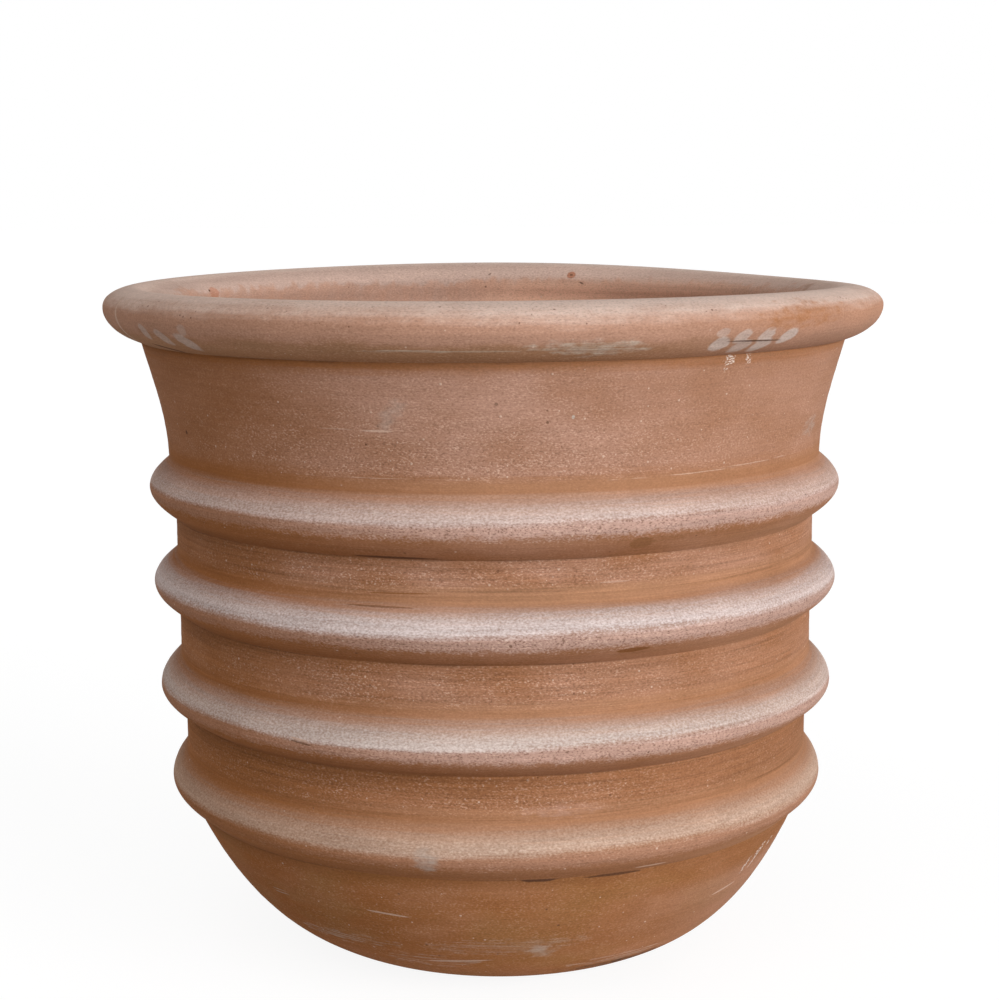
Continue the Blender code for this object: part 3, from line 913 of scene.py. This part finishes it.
for joint, strength in zip(JOINTS, BAND_SHARES):
    name = f"cordon_{joint.number}"
    cordon_clay = Clay("terracotta_" + name)
    haze = strength * 0.35 - cordon_clay.shaded_side * 0.3
    cordon_clay.coat(PINK_HAZE, haze * cordon_clay.cloud.rise(0.20, 0.80))
    # A pitted band runs between the bloom on top and the smooth underside
    band_line = cordon_clay.height + (cordon_clay.grit - 0.5) * 9.0 + (cordon_clay.fleck - 0.5) * 8.0
    band = band_line.rise(joint.edge - BAND_WIDTH - BAND_EDGE, joint.edge - BAND_WIDTH + BAND_EDGE)
    band = band * cordon_clay.height.rise(joint.edge + BAND_EDGE, joint.edge)
    band = band * (strength - cordon_clay.shaded_side * strength * 0.7)
    cordon_clay.coat(BLOOM_BAND, band)
    cordon_clay.sandy(band * 0.8 + 0.2)
    cordon_clay.coat(DARK_GRIT, cordon_clay.grit.rise(0.46, 0.34) * band * 0.35)
    bloomed(cordon_clay, joint)
    # Painted shade in the crease under the cordon
    cordon_clay.shade_and_crack_crease(joint.crease, share=0.50, width=11.0, cracked=0.3)
    # Painted light on the underside, on the side towards the lamp
    under = cordon_clay.height.rise(joint.crest - 6.0, joint.crease + 4.0)
    cordon_clay.coat(PAINTED_UNDERSIDE_LIGHT, under * cordon_clay.sunny * 0.45)
    for number, mark in CORDON_MARKS:
        if number == joint.number:
            cordon_clay.mark(*mark)
    cordon = thrown(name, cordon_outline(joint), cordon_clay.fired(0.9))
    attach(cordon, "root")
    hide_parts(name)


# Rim roll: a fat coil laid on the mouth, pressed down outside and inside, and wiped round with a wet cloth.
# Fingers left their marks under it when the pot was lifted.
RIM_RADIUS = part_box("rim_roll")[1].x / MM - (OUT_OF_ROUND + THROWING_RIPPLE) / 2
RIM_MIDDLE = 468.9
RIM_CROWN = 13.4
RIM_HALF_WIDTH = 24.0
RIM_UNDERSIDE_WIDTH = 43.15
RIM_UNDERSIDE_DROP = 26.2
RIM_UNDERSIDE_START = -67.5
RIM_INNER_FOOT = 452.0
RIM_LIP_REACH = 7.0
RIM_SEAT_INSET = 2.0
RIM_WIPED_ABOVE = (446.0, 462.0)
RIM_PAINTED_SHADE_BELOW = (460.0, 452.0)
RIM_PAINTED_LIGHT_BELOW = (464.0, 452.0)
RIM_BLOOMED_ABOVE = (467.0, 482.0)
RIM_PITTED_BAND = (470.0, 479.0, 3.0)
INNER_FACE_WITHIN = (252.0, 240.0)
INSIDE_BARE_BELOW = (475.0, 470.0)
INSIDE_PAINTED_LIGHT_BELOW = (479.0, 464.0)

RIM_CLAY = (0.465, 0.260, 0.180, 1.0)
RIM_BLOOM = (0.620, 0.475, 0.405, 1.0)
RIM_UNDERSIDE_SHADE = (0.380, 0.205, 0.112, 1.0)
INSIDE_BLOOM = (0.520, 0.365, 0.300, 1.0)
INSIDE_CLAY = (0.490, 0.275, 0.190, 1.0)
INSIDE_PAINTED_LIGHT = (0.740, 0.430, 0.300, 1.0)
FINGER_BLOOM = (0.520, 0.405, 0.350, 1.0)
# A fingerprint is its angle, height, half width, half height, slant and share
FINGER_PRINTS = (
    (31.0, 453.7, 8.0, 5.6, 0.0, 0.95),
    (30.7, 461.0, 5.5, 3.2, 0.1, 0.5),
    (35.0, 451.4, 8.5, 5.2, 0.10, 0.8),
    (34.2, 457.6, 7.0, 5.2, 0.25, 0.8),
    (38.8, 451.4, 8.5, 5.2, 0.10, 0.95),
    (38.4, 457.6, 7.5, 5.4, 0.25, 0.85),
    (42.9, 456.2, 8.5, 5.6, 0.20, 0.95),
    (-55.5, 458.4, 6.0, 6.0, -0.2, 0.55),
    (-51.0, 455.7, 8.0, 5.5, -0.3, 0.55),
    (-45.1, 461.9, 5.0, 4.5, 0.0, 0.35),
    (-45.9, 453.6, 10.0, 6.0, -0.3, 0.65),
)
PRINT_DEPTH = 1.0
SCUFF = (0.520, 0.440, 0.350, 1.0)
RED_STAIN = (0.400, 0.170, 0.100, 1.0)
OUTER_MARKS = (
    ("crack", 37.0, 454.5, 28.0, 0.6, -0.03, CRACK, 0.85),
    ("crack", -55.0, 447.0, 15.0, 1.2, -0.18, CRACK, 0.8),
    ("smudge", 13.0, 454.0, 46.0, 7.0, 0.0, LIMESCALE, 0.45),
    ("scuff", 13.0, 454.5, 44.0, 5.0, 0.0, SCUFF, 0.6),
    ("scuff", -12.0, 452.6, 34.0, 1.5, 0.0, SCUFF, 0.6),
    ("scratch", -2.0, 453.0, 28.0, 0.6, 0.0, SCUFF, 0.4),
    ("smudge", 22.0, 452.0, 9.0, 3.0, 0.0, STAIN, 0.6),
    ("smudge", 45.0, 469.6, 62.0, 10.0, 0.03, ORANGE_CLAY, 0.95),
    # Painted shade on the left end of the roll
    ("smudge", -76.0, 466.0, 34.0, 18.0, 0.0, CREASE_SHADE_AND_STAIN, 0.35),
    ("scratch", -64.6, 463.0, 2.4, 17.0, 0.0, SCRATCHED_CLAY, 0.8),
)
INNER_MARKS = (
    ("print", 163.8, 477.9, 4.2, 3.2, 0.0, RED_STAIN, 0.95),
    ("crack", 163.8, 477.9, 1.5, 1.0, 0.0, CRACK, 0.6),
    ("crack", 161.5, 471.2, 2.2, 0.9, 0.4, CRACK, 0.7),
    ("crack", -179.2, 478.6, 1.4, 0.8, -0.4, CRACK, 0.6),
    ("print", -112.0, 471.5, 8.0, 5.0, 0.0, RED_STAIN, 0.7),
    ("crack", -110.5, 473.5, 1.3, 1.0, 0.0, CRACK, 0.9),
    ("smudge", 100.0, 475.5, 12.0, 4.0, 0.0, STAIN, 0.6),
)


def rim_underside_radius(height):
    """The radius of the roll's underside at this height."""
    fall = (RIM_MIDDLE - height) / RIM_UNDERSIDE_DROP
    return RIM_RADIUS - RIM_UNDERSIDE_WIDTH * (1 - (1 - fall * fall) ** 0.5)


def rim_outline():
    middle = Vector((RIM_RADIUS - RIM_HALF_WIDTH, RIM_MIDDLE))
    under = Vector((RIM_RADIUS - RIM_UNDERSIDE_WIDTH, RIM_MIDDLE))
    underside = rounded(under, RIM_UNDERSIDE_WIDTH, RIM_UNDERSIDE_DROP, RIM_UNDERSIDE_START, 0.0)
    crown = rounded(middle, RIM_HALF_WIDTH, RIM_CROWN, 0.0, 180.0)
    inner = crown(1.0)
    inner_foot = Vector((MOUTH_RADIUS - WALL_THICKNESS, RIM_INNER_FOOT))
    reach = Vector((0.0, RIM_LIP_REACH))
    lip = swept(inner, inner - reach, inner_foot + reach, inner_foot)
    seat_inside = Vector((MOUTH_RADIUS - WALL_THICKNESS, MOUTH_HEIGHT))
    seat_outside = underside(0.0) - Vector((RIM_SEAT_INSET, 0.0))
    return traced(
        (underside, SEEN_SPACING, 0.0),
        (crown, SEEN_SPACING, 0.0),
        (lip, SEEN_SPACING, 0.0),
        (straight(inner_foot, seat_inside), LINING_SPACING, 0.0),
        (straight(seat_inside, seat_outside), HIDDEN_SPACING, 0.0),
        (straight(seat_outside, underside(0.0)), HIDDEN_SPACING, 0.0),
    )


rim_clay = Clay("terracotta_rim")
# The outer face: wiped clay, painted shade under the roll with painted light on it towards the lamp, and
# bloom on the crown with a few open pits
level = rim_clay.height + (rim_clay.cloud - 0.5) * 16.0 + (rim_clay.fleck - 0.5) * 7.0
inner_face = rim_clay.radius.rise(*INNER_FACE_WITHIN)
outer_face = 1.0 - inner_face
wiped = level.rise(*RIM_WIPED_ABOVE) * (0.95 - rim_clay.shaded_side * 0.18 - rim_clay.sunny * 0.30)
rim_clay.coat(RIM_CLAY, wiped)
# Painted shade under the roll, less towards the lamp, and painted light under it on the lamp side
rim_clay.coat(RIM_UNDERSIDE_SHADE, level.rise(*RIM_PAINTED_SHADE_BELOW) * (0.8 - rim_clay.sunny * 0.5))
rim_clay.coat(PINK_HAZE, level.rise(*RIM_PAINTED_LIGHT_BELOW) * rim_clay.sunny * 0.45)
bloom_line = rim_clay.height + (rim_clay.cloud - 0.5) * 8.0 + (rim_clay.fleck - 0.5) * 7.0
bloom_line = bloom_line + (rim_clay.streak - 0.5) * 8.0 - rim_clay.sag * 2.0
rim_clay.coat(RIM_BLOOM, bloom_line.rise(*RIM_BLOOMED_ABOVE) * (0.94 - rim_clay.shaded_side * 0.10))
pitted = rim_clay.grain(26.0, 16.0, seed=12.0).rise(0.52, 0.66) * rim_clay.height.hump(*RIM_PITTED_BAND)
rim_clay.coat(DARK_GRIT, rim_clay.specks(2.6, 1.0, pitted * 0.7, 23.0) * 0.8)
# Painted shade in the crease under the roll
rim_clay.shade_and_crack_crease(MOUTH_HEIGHT, share=0.25, width=8.0, cracked=0.5)
# Fingerprints are dented into the roll as well as paler
prints = []
for angle, height, half_width, half_height, slant, share in FINGER_PRINTS:
    rim_clay.mark("print", angle, height, half_width, half_height, slant, FINGER_BLOOM, outer_face * share)
    prints.append((angle, height, rim_underside_radius(height), half_width, half_height, PRINT_DEPTH))
for *place, share in OUTER_MARKS:
    rim_clay.mark(*place, outer_face * share)
# The inner face: bloom that ran down over bare clay. Painted shade darkens its left, which faces the lamp,
# and painted light brightens its right and its lowest part, which lie in shade
lit_side = rim_clay.radius * (rim_clay.angle * radians(1.0)).math("SINE")
rim_clay.coat(INSIDE_BLOOM, inner_face)
# Painted shade on the left of the inner face, which faces the lamp
rim_clay.shade(1.0 - inner_face * lit_side.rise(60.0, -40.0) * 0.13)
drip_line = level + (rim_clay.grain(7.0, 60.0, seed=9.0) - 0.5) * 14.0
faded = 1.15 - rim_clay.grain(9.0, 90.0, seed=10.0) * 0.9
low = drip_line.rise(*INSIDE_BARE_BELOW) * inner_face
rim_clay.coat(INSIDE_CLAY, low * faded)
# Painted light low on the right of the inner face, which the lamp leaves in shade
painted_light_low = rim_clay.height.rise(*INSIDE_PAINTED_LIGHT_BELOW) * inner_face
rim_clay.coat(INSIDE_PAINTED_LIGHT, painted_light_low * lit_side.hump(40.0, 165.0, 80.0))
# Painted shade on the bare clay far left, and painted light on the right of the inner face
rim_clay.shade(1.0 - low * lit_side.rise(-50.0, -110.0) * 0.08)
rim_clay.shade(1.0 + inner_face * lit_side.rise(20.0, 110.0) * 0.09)
for *place, share in INNER_MARKS:
    rim_clay.mark(*place, inner_face * share)
rim_clay.sandy(0.30)
rim = thrown("rim_roll", rim_outline(), rim_clay.fired(0.35, lamp_side_shade=0.01), prints)
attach(rim, "root")
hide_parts("rim_roll")


# Floor and light: a pale floor under a bright sky, a broad soft lamp low at the front right and a weak one
# high at the front left. The camera sees the lit floor as white, and the pot keeps a faint shadow on it.
FLOOR_HALF_WIDTH = 30000.0
FLOOR_BOUNCE = (0.62, 0.62, 0.62, 1.0)
FLOOR_SHADE = (0.16, 0.16, 0.16, 1.0)
FLOOR_GLOW = 0.90
SKY_LIGHT = 0.36
LAMP_STRENGTH = 4.4
LAMP_BEARING = 50.0
LAMP_HEIGHT = 6.0
LAMP_WIDTH = 50.0
FILL_STRENGTH = 0.55
FILL_BEARING = -30.0
FILL_HEIGHT = 50.0


def background_seen(tree):
    """1 where a ray comes from the camera, a mirror or glass, and so shows the background itself."""
    ray = node(tree, "ShaderNodeLightPath")
    return ray.math("MAXIMUM", ray.also("Is Glossy Ray")).math("MAXIMUM", ray.also("Is Transmission Ray"))


floor_material = bpy.data.materials.new("pale_floor")
floor_material.use_nodes = True
floor_tree = floor_material.node_tree
floor_tree.nodes.remove(floor_tree.nodes["Principled BSDF"])
bounce = node(floor_tree, "ShaderNodeBsdfDiffuse", {}, {"Color": FLOOR_BOUNCE})
shaded = node(floor_tree, "ShaderNodeBsdfDiffuse", {}, {"Color": FLOOR_SHADE})
glow = node(floor_tree, "ShaderNodeEmission", {}, {"Strength": FLOOR_GLOW})
white = node(floor_tree, "ShaderNodeAddShader", {}, {0: shaded, 1: glow})
surface = node(floor_tree, "ShaderNodeMixShader", {}, {0: background_seen(floor_tree), 1: bounce, 2: white})
floor_tree.links.new(surface.socket, floor_tree.nodes["Material Output"].inputs["Surface"])

floor_mesh = bpy.data.meshes.new("floor")
half = FLOOR_HALF_WIDTH * MM
floor_corners = [(-half, -half, 0.0), (half, -half, 0.0), (half, half, 0.0), (-half, half, 0.0)]
floor_mesh.from_pydata(floor_corners, [], [(0, 1, 2, 3)])
floor_mesh.materials.append(floor_material)
floor = bpy.data.objects.new("floor", floor_mesh)
bpy.context.scene.collection.objects.link(floor)

world = bpy.data.worlds.new("sky")
world.use_nodes = True
sky_tree = world.node_tree
sky_strength = SKY_LIGHT + background_seen(sky_tree) * (1.0 - SKY_LIGHT)
sky_tree.links.new(sky_strength.socket, sky_tree.nodes["Background"].inputs["Strength"])
sky_tree.nodes["Background"].inputs["Color"].default_value = (1.0, 1.0, 1.0, 1.0)
bpy.context.scene.world = world


def lit(name, strength, bearing, height):
    """Hangs a broad lamp far off on this bearing, this many degrees up."""
    lamp = bpy.data.lights.new(name, "SUN")
    lamp.energy = strength
    lamp.angle = radians(LAMP_WIDTH)
    hung = bpy.data.objects.new(name, lamp)
    hung.rotation_euler = (radians(90.0 - height), 0.0, radians(bearing))
    bpy.context.scene.collection.objects.link(hung)


lit("key_lamp", LAMP_STRENGTH, LAMP_BEARING, LAMP_HEIGHT)
lit("fill_lamp", FILL_STRENGTH, FILL_BEARING, FILL_HEIGHT)


# Camera: a little above the rim and a metre and a half back from the pot's middle, looking a little down.
CAMERA_DISTANCE = 1465.2
CAMERA_HEIGHT = 546.9
CAMERA_ASIDE = 3.7
CAMERA_PITCH = 8.73
CAMERA_ROLL = -0.37
FOCAL_LENGTH = 72.2
SENSOR_WIDTH = 36.0

camera_data = bpy.data.cameras.new("camera")
camera_data.lens = FOCAL_LENGTH
camera_data.sensor_width = SENSOR_WIDTH
camera = bpy.data.objects.new("camera", camera_data)
camera.location = Vector((CAMERA_ASIDE, -CAMERA_DISTANCE, CAMERA_HEIGHT)) * MM
tilt = Matrix.Rotation(radians(90.0 - CAMERA_PITCH), 3, "X") @ Matrix.Rotation(radians(CAMERA_ROLL), 3, "Z")
camera.rotation_euler = tilt.to_euler()
bpy.context.scene.collection.objects.link(camera)
bpy.context.scene.camera = camera
bpy.context.scene.view_settings.view_transform = "Standard"
